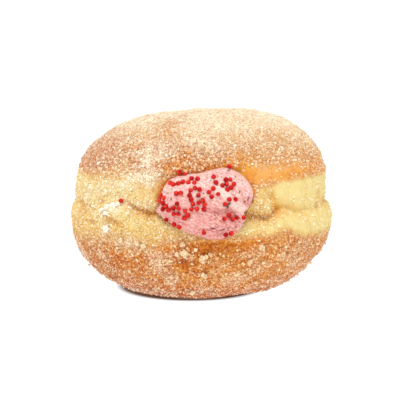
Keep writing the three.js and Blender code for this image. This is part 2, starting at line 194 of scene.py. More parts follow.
FOLDS = (  # depth, width, then heading and height at one end and at the other
    (0.8, 0.85, -45, 30.6, -35, 27.9),
    (0.6, 0.7, -56.5, 27.2, -50, 27.6),
    (0.4, 0.7, -49, 33.6, -45, 34.2),
    (0.8, 0.9, -66, 32.3, -60, 29.3),
    (0.8, 1.5, 35, 32, 31.8, 36.5),
    (0.45, 1.4, 62, 31.2, 65.5, 36),
)
SWELLINGS = (  # swell, heading, spread, height, reach
    (0.8, 25, 8, 36.3, 4.5),
    (1.5, -40.5, 6.5, 31.0, 2.0),
    (0.7, -4, 16, 51, 5),
    (0.7, 15.8, 3.2, 46.6, 1.7),
    (0.7, 88, 26, 25.5, 5.5),
    (-0.9, 82, 26, 10, 5),
    (0.9, -42, 26, 5.5, 5.5),
    (-2.2, 30, 20, 0.5, 3),
)
PINCH_X, PINCH_Z, PINCH_SLOPE, PINCH_LENGTH = 11.5, 43.5, math.radians(52), 9
PINCH_DEPTH, PINCH_WIDTH, PINCH_LEAD_IN, PINCH_STEADY = 1.5, 1.9, 3, 0.3
LUMPINESS = ((0.3, 3, 0.7, 57), (0.25, 5, 2.1, 41), (0.18, 8, 4.4, 29))  # swell, turns, phase, pitch
LUMPS_ABOVE_FOOT, LUMPS_BELOW_TOP = 12, 8
SLIT_X, SLIT_Z = 1.3, 34.9
SLIT_REACH = np.array([  # how far the slit reaches from its middle, every 15 degrees from +X towards +Z
    13.7, 14.9, 14.3, 13.4, 12.4, 10.6, 9.7, 9.5, 10.3, 11.6, 13.0, 13.3,
    13.6, 13.3, 11.4, 10.1, 9.4, 9.2, 9.6, 10.5, 11.2, 12.2, 12.9, 13.3,
])
SLIT_NOTCHES = ((-1.6, -11, 5.5), (1.3, 188, 5))  # how far the edge moves out, where and how widely
OVERHANG, OVERHANG_ENDS = 2.2, (-0.4, 0.3)
LIP_DROP, LIP_INNER, LIP_OUTER = 1.8, -1.5, 3
POCKET_FRONT, POCKET_BACK, POCKET_TAPER, LAST_POCKET_RING = -36, 17, 0.4, 0.995
POCKET_HALF_WIDTH, POCKET_HALF_HEIGHT, POCKET_Z = 21, 7.5, 33.5
BUN_COLUMNS, BUN_ROWS, FRONT_CROWDING = 420, 215, 0.38
PROFILE_STEPS, AFTER_SEAM, BEFORE_TOP = 400, 0.01, 0.02
SEAM_CROWDING, SEAM_CROWDING_REACH = 0.8, 4


def bell(t):
    return np.exp(-t * t)


def smoothstep(x, low, high):
    t = np.clip((x - low) / (high - low), 0, 1)
    return t * t * (3 - 2 * t)


def mix(a, b, share):
    return a + (b - a) * share


def heading_from(heading, centre):
    return (heading - centre + 180) % 360 - 180


def half_profile(reach, power):
    return np.clip(1 - np.clip(reach, 0, 1) ** power, 0, 1) ** (1 / power)


def upper_radius(height):
    return UPPER_RADIUS * half_profile((height - UPPER_MIDDLE) / (CROWN - UPPER_MIDDLE), UPPER_POWER)


def plain_radius(height):
    """The radius of the bun at a height, before any crease or swelling."""
    base = LOWER_RADIUS * half_profile((LOWER_MIDDLE - height) / LOWER_DEPTH, LOWER_POWER)
    up = (height - LOWER_MIDDLE) / (SEAM - LOWER_MIDDLE)
    tuck = (1 - (upper_radius(SEAM) / LOWER_RADIUS) ** 2) * np.clip(up, 0, 1) ** 2
    lower = np.where(height < LOWER_MIDDLE, base, LOWER_RADIUS * np.sqrt(1 - tuck))
    return np.where(height >= SEAM, upper_radius(height), lower)


def wander(heading, height):
    rise = sum(r * bell(heading_from(heading, at) / reach) for r, at, reach in SEAM_WANDER)
    return rise * bell((height - SEAM) / WANDER_REACH)


def swelling(heading, height):
    swell = SHOULDER_SWELL * bell((height - SHOULDER_HEIGHT) / SHOULDER_REACH)
    for size, at, spread, middle, reach in SWELLINGS:
        swell = swell + size * bell(np.hypot(heading_from(heading, at) / spread, (height - middle) / reach))
    fade = smoothstep(height, 0, LUMPS_ABOVE_FOOT) * (1 - smoothstep(height, CROWN - LUMPS_BELOW_TOP, CROWN))
    for size, turns, phase, pitch in LUMPINESS:
        round_bun = np.sin(np.radians(heading * turns) + phase)
        swell = swell + size * fade * round_bun * np.sin(2 * np.pi * height / pitch + phase)
    return swell


def crease_depth(heading, height):
    depth, width = (np.interp(heading, CREASE[:, 0], CREASE[:, column]) for column in (1, 2))
    jitter = sum(size * np.sin(np.radians(heading * turns) + phase) for size, turns, phase in SEAM_JITTER)
    return depth * np.exp(-np.abs(height - SEAM + jitter) / width)


def stroke(x, z, start, end, width):
    """1 along a straight line from start to end, fading to 0 beside it and past its ends."""
    along_x, along_z = end[0] - start[0], end[1] - start[1]
    length = math.hypot(along_x, along_z)
    run = ((x - start[0]) * along_x + (z - start[1]) * along_z) / length
    across = ((x - start[0]) * along_z - (z - start[1]) * along_x) / length
    past_end = np.maximum(np.maximum(-run, run - length), 0)
    return bell(np.hypot(across, past_end) / width)


def fold_depth(heading, z):
    """How far the short folds of the crust press in at a place."""
    mm_per_degree = math.radians(LOWER_RADIUS)
    pressed = 0
    for depth, width, from_heading, from_z, to_heading, to_z in FOLDS:
        beside = heading_from(heading, from_heading) * mm_per_degree
        end = ((to_heading - from_heading) * mm_per_degree, to_z)
        pressed = pressed + depth * stroke(beside, z, (0, from_z), end, width)
    return pressed


def pinch_depth(x, z):
    """How far a short pinch presses in, which runs up and to the right from the upper lip."""
    run = (x - PINCH_X) * math.cos(PINCH_SLOPE) + (z - PINCH_Z) * math.sin(PINCH_SLOPE)
    across = (x - PINCH_X) * math.sin(PINCH_SLOPE) - (z - PINCH_Z) * math.cos(PINCH_SLOPE)
    fade = 1 - smoothstep(run, PINCH_STEADY * PINCH_LENGTH, PINCH_LENGTH)
    return PINCH_DEPTH * smoothstep(run, -PINCH_LEAD_IN, 0) * fade * bell(across / PINCH_WIDTH)


def overhang(direction):
    """How far the cream laps out over the crust, at the slit's lower edge only."""
    return OVERHANG * (1 - smoothstep(np.sin(direction), *OVERHANG_ENDS))


def slit_radius(direction):
    """From the slit's middle to its edge, in a direction measured from +X towards +Z."""
    step = np.degrees(direction) * len(SLIT_REACH) / 360
    first = np.floor(step).astype(int)
    t = step - first
    before, start, end, after = (SLIT_REACH[(first + shift) % len(SLIT_REACH)] for shift in (-1, 0, 1, 2))
    bend = (2 * before - 5 * start + 4 * end - after) * t + (3 * start - before - 3 * end + after) * t**2
    reach = start + 0.5 * t * (end - before + bend)
    for out, at, spread in SLIT_NOTCHES:
        reach = reach + out * bell(heading_from(np.degrees(direction), at) / spread)
    return reach - overhang(direction)


def outside_slit(x, z):
    direction = np.arctan2(z - SLIT_Z, x - SLIT_X)
    return np.hypot(x - SLIT_X, z - SLIT_Z) - slit_radius(direction)


def crust_points(heading, height):
    angle = np.radians(heading)
    radius = plain_radius(height) + swelling(heading, height) - crease_depth(heading, height)
    z = height + wander(heading, height)
    radius = radius - fold_depth(heading, z)
    x = radius * np.sin(angle)
    lip = LIP_DROP * (1 - smoothstep(outside_slit(x, z), LIP_INNER, LIP_OUTER))
    radius = radius - np.where(np.cos(angle) > 0, lip + pinch_depth(x, z), 0)
    x = radius * np.sin(angle)
    lean = LEAN * x * smoothstep(height, SEAM, CROWN)
    return np.stack([x, -radius * np.cos(angle), z + lean], -1)


def closed_grid(rings, first_pole, last_pole):
    """Points and faces of a closed surface: rings of points one after another, with a point at each end."""
    count, columns = rings.shape[:2]
    points = np.vstack([rings.reshape(-1, 3), [first_pole], [last_pole]])
    index = np.arange(count * columns).reshape(count, columns)
    turned = np.roll(index, -1, axis=1)
    quads = np.stack([index[:-1], turned[:-1], turned[1:], index[1:]], -1).reshape(-1, 4)
    first = [(count * columns, b, a) for a, b in zip(index[0], turned[0])]
    last = [(count * columns + 1, a, b) for a, b in zip(index[-1], turned[-1])]
    return points, [*map(tuple, quads.tolist()), *first, *last]


def pocket_rings(columns, rows, growth):
    """The pocket in the bun, from the slit to a flat lens that closes at its back."""
    direction = np.linspace(0, 2 * np.pi, columns, endpoint=False)[None, :]
    depth = np.linspace(0, LAST_POCKET_RING, rows)[:, None]
    widened = smoothstep(depth, 0, POCKET_TAPER)
    closing = np.sqrt(1 - np.clip((depth - POCKET_TAPER) / (1 - POCKET_TAPER), 0, 1) ** 2)
    lens = 1 / np.hypot(np.cos(direction) / POCKET_HALF_WIDTH, np.sin(direction) / POCKET_HALF_HEIGHT)
    reach = mix(slit_radius(direction), lens, widened) * closing + growth
    x = mix(SLIT_X, 0, widened) + reach * np.cos(direction)
    y = mix(POCKET_FRONT, POCKET_BACK + growth, depth) + 0 * reach
    z = mix(SLIT_Z, POCKET_Z, widened) + reach * np.sin(direction)
    return np.stack([x, y, z], -1)


def noise_at(points_mm, pitch, seed):
    """Smooth noise from -1 to 1, one value a point, with bumps about a pitch apart."""
    shift = Vector((seed * 17.3, seed * 5.1, seed * 9.7))
    return np.array([noise.noise(Vector(p) / pitch + shift) for p in points_mm])


turn = np.linspace(-np.pi, np.pi, BUN_COLUMNS, endpoint=False)
headings = np.degrees(turn - FRONT_CROWDING * np.sin(turn))
trial = np.concatenate([
    SEAM * (1 - np.cos(np.linspace(0, np.pi, PROFILE_STEPS))) / 2,
    mix(SEAM, CROWN, (1 - np.cos(np.linspace(AFTER_SEAM, np.pi - BEFORE_TOP, PROFILE_STEPS))) / 2),
])
crowding = 1 + SEAM_CROWDING * bell((trial[1:] - SEAM) / SEAM_CROWDING_REACH)
run = np.concatenate([[0], np.cumsum(np.hypot(np.diff(trial), np.diff(plain_radius(trial))) * crowding)])
heights = np.interp(np.linspace(0, run[-1], BUN_ROWS), run, trial)
rings = crust_points(headings[None, :], heights[:, None])
bun_points, bun_faces = closed_grid(rings, (0, 0, 0), (0, 0, CROWN))

fried_crust, crust_shader = new_material("fried_crust", 0.78, shine=0.25)
bun = mesh_object("fried_bun", bun_points, bun_faces, fried_crust)

# The pocket is cut out of the bun, a hair narrower than the cream, which presses into the crumb all round.
CREAM_PRESS = 0.5
CUTTER_COLUMNS, CUTTER_ROWS, CUTTER_FRONT = 128, 40, -60
pocket = pocket_rings(CUTTER_COLUMNS, CUTTER_ROWS, -CREAM_PRESS)
far_front = pocket[:1].copy()
far_front[..., 1] = CUTTER_FRONT
cutter_rings = np.vstack([far_front, pocket])[:, ::-1]
cutter_points, cutter_faces = closed_grid(cutter_rings, (SLIT_X, CUTTER_FRONT, SLIT_Z), pocket[-1].mean(0))
cutter = mesh_object("cutter", cutter_points, cutter_faces, fried_crust)
cut = bun.modifiers.new("cut", "BOOLEAN")
cut.object = cutter
cut.solver = "MANIFOLD"
cut.operation = "DIFFERENCE"


def finished_mesh(thing):
    """The object's mesh with its modifiers applied, as a plain mesh in place of the old one."""
    evaluated = thing.evaluated_get(bpy.context.evaluated_depsgraph_get())
    mesh = bpy.data.meshes.new_from_object(evaluated)
    thing.modifiers.clear()
    old = thing.data
    thing.data = mesh
    bpy.data.meshes.remove(old)
    return mesh


bun_mesh = finished_mesh(bun)
bpy.data.objects.remove(cutter)


def read_vectors(items, name):
    flat = np.zeros(len(items) * 3, np.float32)
    items.foreach_get(name, flat)
    return flat.reshape(-1, 3).astype(float)


def read_points(mesh):
    return read_vectors(mesh.vertices, "co") * 1000


def write_points(mesh, points_mm):
    mesh.vertices.foreach_set("co", (np.asarray(points_mm) * 0.001).astype(np.float32).ravel())
    mesh.update()


def store(mesh, name, values):
    layer = mesh.attributes.new(name, "FLOAT", "POINT")
    layer.data.foreach_set("value", np.asarray(values, np.float32))


FAR = 99  # past the bun on every side
CRUST_ENDS = (4.5, 6.5)  # how deep in the pocket's wall the crust gives way to crumb
POCKET_LOW, POCKET_HIGH, BEHIND_POCKET = 22, 50, 20
places = read_points(bun_mesh)
x, y, z = places.T
heading = np.degrees(np.arctan2(x, -y))
height = z - wander(heading, z)
inside_pocket = smoothstep(plain_radius(np.clip(z, 0, CROWN)) - np.hypot(x, y), *CRUST_ENDS)
inside_pocket *= (z > POCKET_LOW) * (z < POCKET_HIGH) * (y < BEHIND_POCKET)
on_crust = 1 - inside_pocket
from_slit = np.where(y < 0, outside_slit(x, z), FAR)
left = smoothstep(-x, -8, 8)
front = smoothstep(-y, -10, 10)

broad = noise_at(places, pitch=11, seed=1)
patchy = noise_at(places, pitch=5, seed=2)
clumps = noise_at(places, pitch=2.1, seed=3)
grainy = noise_at(places, pitch=0.95, seed=4)
blotches = noise_at(places, pitch=7, seed=8)
above_foot = z + 0.5 * patchy + 0.5 * broad


def spot(at_heading, at_height, spread, reach):
    """1 at a place on the crust, fading to 0 round it."""
    return bell(np.hypot(heading_from(heading, at_heading) / spread, (z - at_height) / reach))


def spots(patches):
    """Several places on the crust, added up. Each is how strong, heading, height, spread and reach."""
    return sum(strength * spot(*place) for strength, *place in patches)


# Where the crust browned: above and below the pale band, whose lower edge dips and rises round the bun.
BARE_PATCHES = (  # heading, height, spread, reach of the places on the brown crust where the sugar came off
    (-15.2, 22.5, 5.5, 1.8),
    (-7.5, 15.8, 4, 2.4),
    (-1.5, 22.6, 6, 1.8),
    (10, 22.6, 9, 2.2),
    (-26, 17.2, 2.4, 1.6),
    (21, 23.6, 5, 1.4),
    (-41.5, 20.8, 2.6, 1.9),
    (-38, 15.4, 2.4, 2.6),
    (-6.3, 49.8, 2.4, 1.5),
    (-33, 51.6, 2, 1.5),
    (-20.5, 55.6, 2.4, 1),
    (-10.5, 45.8, 5, 1.3),
)
BROWN_OVER_BAND = ((0.16, 32, 43.4, 26, 3.4), (0.18, 62, 43.6, 22, 4))
BROWN_AT_UPPER_LIP = ((0.24, -4, 46, 18, 3.2), (0.3, 19, 44.5, 5, 4))
BROWN_BESIDE_SLIT = ((0.16, 24, 36, 8, 6), (0.16, -21, 38, 5, 5))
MOST_BROWN_OVER_BAND = 0.68
BAND_TOP, BAND_BOTTOM = 41.2, 21.6
band_bottom = BAND_BOTTOM + 5.2 * spot(22, 25, 40, FAR) + 1.3 * broad + 1.1 * patchy
band_top = BAND_TOP - 1.3 * spot(24, 40, 18, FAR) + 0.5 * broad + 0.9 * patchy * left
faded = bell(heading_from(heading, -34) / 20)
upper_zone = smoothstep(height, band_top - 0.8 - 3.5 * faded, band_top + 1.0 + 1.2 * left + 5 * faded)
lower_zone = 1 - smoothstep(height, band_bottom - 3.8 - 2 * left, band_bottom + 1.5 + left)
on_band = (1 - upper_zone) * (1 - lower_zone)
bare = np.clip(sum(spot(*patch) for patch in BARE_PATCHES), 0, 1) * (lower_zone + 0.6 * upper_zone)
browning = upper_zone * (0.46 + 0.08 * broad + 0.1 * blotches + spots(BROWN_OVER_BAND))
browning = np.minimum(browning, MOST_BROWN_OVER_BAND) + upper_zone * spots(BROWN_AT_UPPER_LIP)
browning = np.maximum(browning, lower_zone * (0.72 - 0.15 * left + 0.08 * broad + 0.07 * blotches))
browning += 0.12 * lower_zone * spot(4, 21, 26, 5) + 0.16 * bare + spots(BROWN_BESIDE_SLIT)
browning += upper_zone * (0.16 * spot(46, 42.4, 18, 2) - 0.08 * smoothstep(x, 24, 36))
browning += 0.2 * left * front * (1 - upper_zone) * smoothstep(31 - z, 0, 9)
browning = np.maximum(browning, 0.95 * bell((from_slit - 0.2) / 1.2) * smoothstep(z, 31, 36))
browning = np.maximum(browning, 0.7 * bell(from_slit / 1.5) * (z < 33))
# Darker towards the foot: a browner base, with painted shade under the overhang in it. A little browner round
# the back.
browning += 0.45 * (1 - smoothstep(z, 2, 10)) + (0.08 + 0.1 * patchy) * smoothstep(y, 0, 20)
store(bun_mesh, "browning", np.clip(browning, 0, 1) * on_crust)
# Painted shadow at the foot: the crust turns dark brown within a few millimetres of the table, partly a
# browned foot and partly the shadow where the bun meets the table.
store(bun_mesh, "scorch_and_painted_shadow", 1 - smoothstep(above_foot, 1.6, 3.2))

# Pinkish brown, where the crust is matt and the sugar thin: at the upper left, and low down at both sides.
rosy = upper_zone * smoothstep(-x, 19, 33) * (1 - smoothstep(height, 53, 59)) * (0.9 + 0.3 * broad)
rosy = np.maximum(rosy, (0.3 + 0.25 * left) * lower_zone * smoothstep(np.abs(heading) - 0.9 * z, 6, 45))
store(bun_mesh, "rosy", np.clip(rosy, 0, 1) * on_crust)

# Sugar that caked white as it melted: over the crown, in patches left of the slit and all over the base.
FROST_LEFT_OF_SLIT = ((1, -29, 44, 13, 5), (0.6, -21, 41, 5, 3), (0.7, -40, 39, 8, 3))
FROST_AT_UPPER_LIP = ((1, -25.5, 47.8, 6.5, 3), (1, -27, 42.4, 4.5, 2))
FROSTED_PATCHES = (  # white, whiter where caked, whiter in clumps, then heading, height, spread, reach
    (0.25, 0.6, 0, -24, 49, 22, 7),
    (0.5, 0.5, 0, -2, 52, 32, 5),
    (0.48, 0, 0.8, -32, 22.3, 13, 2),
    (0.72, 0, 0.36, -17.5, 17.4, 6.5, 3),
    (0.8, 0, 0, -43.8, 40, 8, 1.8),
    (0.7, 0.5, 0, -19, 52.8, 7, 2.6),
)
THINNER_FROST = (  # how much thinner, heading, height, spread, reach
    (0.5, -3, 46, 18, 2),
    (0.6, -64, 47, 22, 7),
    (0.7, -25, 57.6, 14, 2.6),
    (0.4, 42, 54, 18, 5),
)
NO_FROST = ((0.9, 19, 45.2, 6, 4), (0.9, 34, 43.4, 26, 2.8), (0.3, -18, 37, 5, 5))
caked = smoothstep(0.55 * blotches + 0.45 * patchy + 0.25 * clumps, -0.05, 0.25)
frost = smoothstep(height, 46, 55) * (0.5 + 0.3 * caked)
for white in (
    1.1 * smoothstep(height, 52, 57.5),
    (0.45 + 0.75 * caked) * spots(FROST_LEFT_OF_SLIT),
    (0.9 + 0.5 * caked) * spots(FROST_AT_UPPER_LIP),
    (0.9 + 0.5 * clumps) * spot(-42.6, 25.9, 2.8, 1.8) + 1.5 * spot(-39.5, 32.2, 6, 1.3),
    0.4 * (1 - upper_zone) * (0.4 + caked) * left * front * smoothstep(z, 29, 34),
    upper_zone * caked * (0.14 + 0.1 * left),
    lower_zone * caked * (0.3 + 0.15 * left),
    *((plain + in_cakes * caked + in_clumps * clumps) * spot(*place)
      for plain, in_cakes, in_clumps, *place in FROSTED_PATCHES),
):
    frost = np.maximum(frost, white)
frost *= 1 - 0.4 * (1 - smoothstep(z, 6, 12))
for thinner, *place in THINNER_FROST:
    frost *= 1 - thinner * spot(*place)
store(bun_mesh, "frost", np.clip(frost - 0.9 * bare - spots(NO_FROST), 0, 1.5) * on_crust)
store(bun_mesh, "warmth", lower_zone * smoothstep(z, 6, 20) * (0.35 + 0.65 * spot(8, 22, 36, FAR)))

# How thickly loose sugar lies: thin on the smooth patch right of the slit, on the pale band and on bare
# patches; and the painted shade that darkens the gaps between its clumps.
SUGAR_PATCHES = (  # how much more or less, heading, height, spread, reach
    (-0.8, 19, 45.2, 5, 4),
    (-0.85, 36, 43.2, 28, 3),
    (0.5, -8, 47.5, 26, 5),
    (0.5, -17.5, 17.4, 6.5, 3),
    (-0.4, -66, 46, 22, 7),
    (-0.6, -39.5, 32.2, 5.5, 1.2),
)
sugar = 0.85 + 0.25 * patchy + 0.2 * broad + 0.25 * caked * (upper_zone + lower_zone)
sugar += spots(SUGAR_PATCHES) - 0.8 * bare - on_band * (0.35 + 0.4 * smoothstep(x, 19, 25))
sugar += (0.7 * clumps + 0.4 * grainy) * lower_zone * smoothstep(z, 4, 10)
sugar -= 0.35 * lower_zone * (1 - caked) * smoothstep(z, 5, 12)
sugar = np.clip(sugar, 0.06, 1.3) * on_crust
sugar *= smoothstep(above_foot, 2.0, 3.6) * smoothstep(from_slit, -0.3, 1.3)
store(bun_mesh, "sugar", sugar)
# Painted shade between the clumps, strongest on the crown's brow and the base.
painted_shade_in_gaps = upper_zone * smoothstep(sugar, 0.4, 0.9) * (0.35 + 0.9 * spot(-6, 47.5, 26, 6))
painted_shade_in_gaps *= (1 - 0.8 * smoothstep(height, 50, 57)) * (1 - 0.5 * rosy)
painted_shade_in_gaps += 0.8 * lower_zone + 0.3 * left * front - spot(-39.5, 32.2, 7, 2)
store(bun_mesh, "painted_shade_in_gaps", np.clip(painted_shade_in_gaps, 0, 1) * on_crust)

# Painted shade, golden brown, in the crease round the sides, in the folds beside it and in the pinch at the
# slit, strongest where they press in deepest; and a few golden patches along the seam and one on the crown.
DEEPEST_CREASE = 2.2
GOLDEN_PATCHES = (  # how golden, heading, height, spread, reach
    (0.4, 38, 31.6, 4, 1.6),
    (0.25, 48, 30.4, 5, 1.2),
    (0.5, -62, 30.5, 4, 2.5),
    (0.22, -25, 57.4, 12, 2.2),
)
creased = np.clip(crease_depth(heading, height) / DEEPEST_CREASE, 0, 1)
golden_crease_shade = np.maximum(0.9 * (creased + fold_depth(heading, z) * front), spots(GOLDEN_PATCHES))
golden_crease_shade = np.maximum(golden_crease_shade, 0.8 * pinch_depth(x, z) / PINCH_DEPTH * (y < 0))
store(bun_mesh, "golden_crease_shade", np.clip(golden_crease_shade, 0, 1) * on_crust)

# Relief: shallow blisters, clumps of sugar and a fine grain, none of it under the foot or in the pocket. The
# crust lies a little inside its outline, which leaves room for the crystals on it.
ROOM_FOR_SUGAR = 0.55
TORN_EDGE = (-40, 32.6, 8, 1.8)
sugary = 0.2 * clumps + 0.22 * caked + 0.24 * grainy
relief = 0.2 * patchy + sugary * np.clip(sugar, 0.2, 1) - ROOM_FOR_SUGAR
relief += spot(*TORN_EDGE) * (0.4 + 0.6 * clumps + 0.3 * grainy)
relief *= smoothstep(z, 0.2, 2.5) * on_crust
write_points(bun_mesh, places + relief[:, None] * read_vectors(bun_mesh.vertex_normals, "vector"))


BLACK, WHITE = (0, 0, 0, 1), (1, 1, 1, 1)


def paint(red, green, blue):
    """A screen colour, 0 to 255 each, as the linear colour that shaders use."""
    shares = [c / 255 for c in (red, green, blue)]
    return (*[c / 12.92 if c <= 0.04045 else ((c + 0.055) / 1.055) ** 2.4 for c in shares], 1)


def attribute(tree, name):
    return add_node(tree, "ShaderNodeAttribute", attribute_name=name).outputs["Fac"]


def fine_noise(tree, per_metre, detail=2.0):
    coordinates = add_node(tree, "ShaderNodeTexCoord").outputs["Object"]
    return add_node(tree, "ShaderNodeTexNoise", coordinates, Scale=per_metre, Detail=detail).outputs["Fac"]


def scaled(tree, value, factor, offset):
    return maths(tree, "ADD", times(tree, value, factor), offset)


def roughen(tree, shader, per_metre, detail, strength, depth):
    """A fine grain that only tilts the light, given by how many bumps lie on a metre."""
    grain = fine_noise(tree, per_metre, detail)
    bump = add_node(tree, "ShaderNodeBump", Strength=strength, Distance=depth, Height=grain)
    feed(tree, shader.inputs["Normal"], bump.outputs["Normal"])


def soften(shader, share, reach_by_colour, depth):
    """Let light into the surface, furthest for red."""
    for name, value in (("Weight", share), ("Radius", reach_by_colour), ("Scale", depth)):
        shader.inputs["Subsurface " + name].default_value = value


def node_group(name, kind, inputs, outputs):
    """A new group of nodes, with its input and output nodes."""
    group = bpy.data.node_groups.new(name, kind)
    for in_out, sockets in (("INPUT", inputs), ("OUTPUT", outputs)):
        for label, socket_kind in sockets.items():
            group.interface.new_socket(label, in_out=in_out, socket_type="NodeSocket" + socket_kind)
    return group, add_node(group, "NodeGroupInput"), add_node(group, "NodeGroupOutput")


def crust_colour_group():
    """The crust's colour, from pale crumb to deep brown under caked sugar, and where that sugar clumps, with
    painted shade in the creases, between the clumps and at the foot.
    """
    group, given, result = node_group(
        "fried crust colour", "ShaderNodeTree", {"Mottling": "Float"}, {"Color": "Color", "Clumps": "Float"}
    )
    uneven = maths(group, "SUBTRACT", fine_noise(group, 420), 0.5)
    shifted = times(group, uneven, given.outputs["Mottling"])
    browned = maths(group, "ADD", attribute(group, "browning"), shifted)
    fried = ramp(group, browned, [
        (0.0, paint(238, 214, 144)),
        (0.16, paint(234, 196, 118)),
        (0.45, paint(226, 172, 110)),
        (0.68, paint(236, 168, 84)),
        (0.85, paint(227, 149, 56)),
        (1.0, paint(210, 122, 30)),
    ])
    rose = blend_colours(group, 0.75, fried, paint(212, 150, 114))
    # The rosy tone, then painted shade: golden in the creases, folds and pinch, and dark brown at the foot,
    # where it is also the browned foot's colour.
    for where, tone in (("rosy", rose), ("golden_crease_shade", paint(228, 164, 62)), ("scorch_and_painted_shadow", paint(132, 78, 42))):
        fried = blend_colours(group, attribute(group, where), fried, tone)
    clumps = ramp(group, fine_noise(group, 1400), [(0.42, BLACK), (0.58, WHITE)])
    # Painted shade darkens the crust in the gaps between the sugar's clumps.
    painted_shade_in_gaps = times(group, maths(group, "SUBTRACT", 1.0, clumps), attribute(group, "painted_shade_in_gaps"))
    shaded = blend_colours(group, painted_shade_in_gaps, fried, paint(212, 164, 104), "MULTIPLY")
    caking = times(group, attribute(group, "frost"), scaled(group, clumps, 0.5, 0.3))
    frosted = blend_colours(group, caking, shaded, paint(246, 232, 208))
    group.links.new(frosted, result.inputs["Color"])
    group.links.new(clumps, result.inputs["Clumps"])
    return group


crust_colours = crust_colour_group()


def crust_colour(tree, mottling):
    made = add_node(tree, "ShaderNodeGroup", node_tree=crust_colours, Mottling=mottling)
    return made.outputs["Color"], made.outputs["Clumps"]


tree = fried_crust.node_tree
crust_tone, clumping = crust_colour(tree, 0.4)
thin_dust = times(tree, times(tree, clumping, 0.25), attribute(tree, "sugar"))
dusted = blend_colours(tree, thin_dust, crust_tone, paint(250, 226, 172))
tree.links.new(dusted, crust_shader.inputs["Base Color"])
roughen(tree, crust_shader, 1900, 3.0, strength=0.5, depth=0.0003)
soften(crust_shader, 0.1, (1.0, 0.5, 0.25), 0.001)

# ---- Sugar on the crust ----
# The sugar the doughnut was rolled in: crystals of a third to half a millimetre all over the crust, with some
# coarser ones among them. They are whitest where the sugar caked, and take the crust's colour elsewhere.
FINE_SUGAR, COARSE_SUGAR = (0.3, 0.58), (0.5, 0.88)  # smallest and largest
FINE_ON_CROWN, FINE_ON_BASE, COARSE_EVERYWHERE = 3.6e6, 4.5e6, 0.9e6  # crystals on a square metre
WAIST, PARTING = 33, -3  # the height between crown and base, and the y between front and back
FINE_FROM, COARSE_FROM = 1.2, 1.4  # the lowest height with crystals, just clear of the table


def finished_group(group, instances, given, result):
    """Make one mesh of the instances, in the given material, and put it out of the group."""
    whole = add_node(group, "GeometryNodeRealizeInstances", instances)
    finished = add_node(group, "GeometryNodeSetMaterial", whole.outputs[0], Material=given["Finish"])
    group.links.new(finished.outputs[0], result.inputs[0])
    return group


def grain_tree():
    """Crystals on a crust as thickly as its sugar says, between two corners of a box."""
    group, given, result = node_group("sugar crystals on a crust", "GeometryNodeTree", {
        "Crust": "Geometry",
        "Per square metre": "Float",
        "Smallest": "Float",
        "Largest": "Float",
        "Seed": "Int",
        "Least": "Vector",
        "Most": "Vector",
        "Finish": "Material",
    }, {"Crystals": "Geometry"})
    given = given.outputs
    sugar = add_node(group, "GeometryNodeInputNamedAttribute", data_type="FLOAT", Name="sugar").outputs[0]
    place = add_node(group, "GeometryNodeInputPosition").outputs[0]
    tests = [
        add_node(group, "FunctionNodeCompare", place, given[corner], data_type="VECTOR", operation=side)
        for corner, side in (("Least", "GREATER_EQUAL"), ("Most", "LESS_THAN"))
    ]
    in_box = add_node(group, "FunctionNodeBooleanMath", *[test.outputs[0] for test in tests], operation="AND")
    spread = add_node(
        group,
        "GeometryNodeDistributePointsOnFaces",
        given["Crust"],
        in_box.outputs[0],
        times(group, sugar, given["Per square metre"]),
        distribute_method="RANDOM",
        Seed=given["Seed"],
    )
    any_way = (0, 0, 0), (math.tau, math.tau, math.tau)
    turn = add_node(group, "FunctionNodeRandomValue", *any_way, data_type="FLOAT_VECTOR", Seed=5)
    sizes = given["Smallest"], given["Largest"]
    size = add_node(group, "FunctionNodeRandomValue", *sizes, data_type="FLOAT_VECTOR", Seed=6)
    placed = add_node(
        group,
        "GeometryNodeInstanceOnPoints",
        Points=spread.outputs["Points"],
        Instance=add_node(group, "GeometryNodeMeshCube").outputs["Mesh"],
        Rotation=turn.outputs[0],
        Scale=size.outputs[0],
    )
    toned = add_node(
        group,
        "GeometryNodeStoreNamedAttribute",
        placed.outputs[0],
        data_type="FLOAT",
        domain="INSTANCE",
        Name="tone",
        Value=add_node(group, "FunctionNodeRandomValue", data_type="FLOAT", Seed=7).outputs[1],
    )
    return finished_group(group, toned.outputs[0], given, result)


def grow(piece, group, settings):
    """Run a group of geometry nodes on a piece for good, with the group's inputs given by name."""
    growth = piece.modifiers.new("growth", "NODES")
    growth.node_group = group
    for socket in group.interface.items_tree:
        if socket.name in settings:
            growth[socket.identifier] = settings[socket.name]
    finished_mesh(piece)


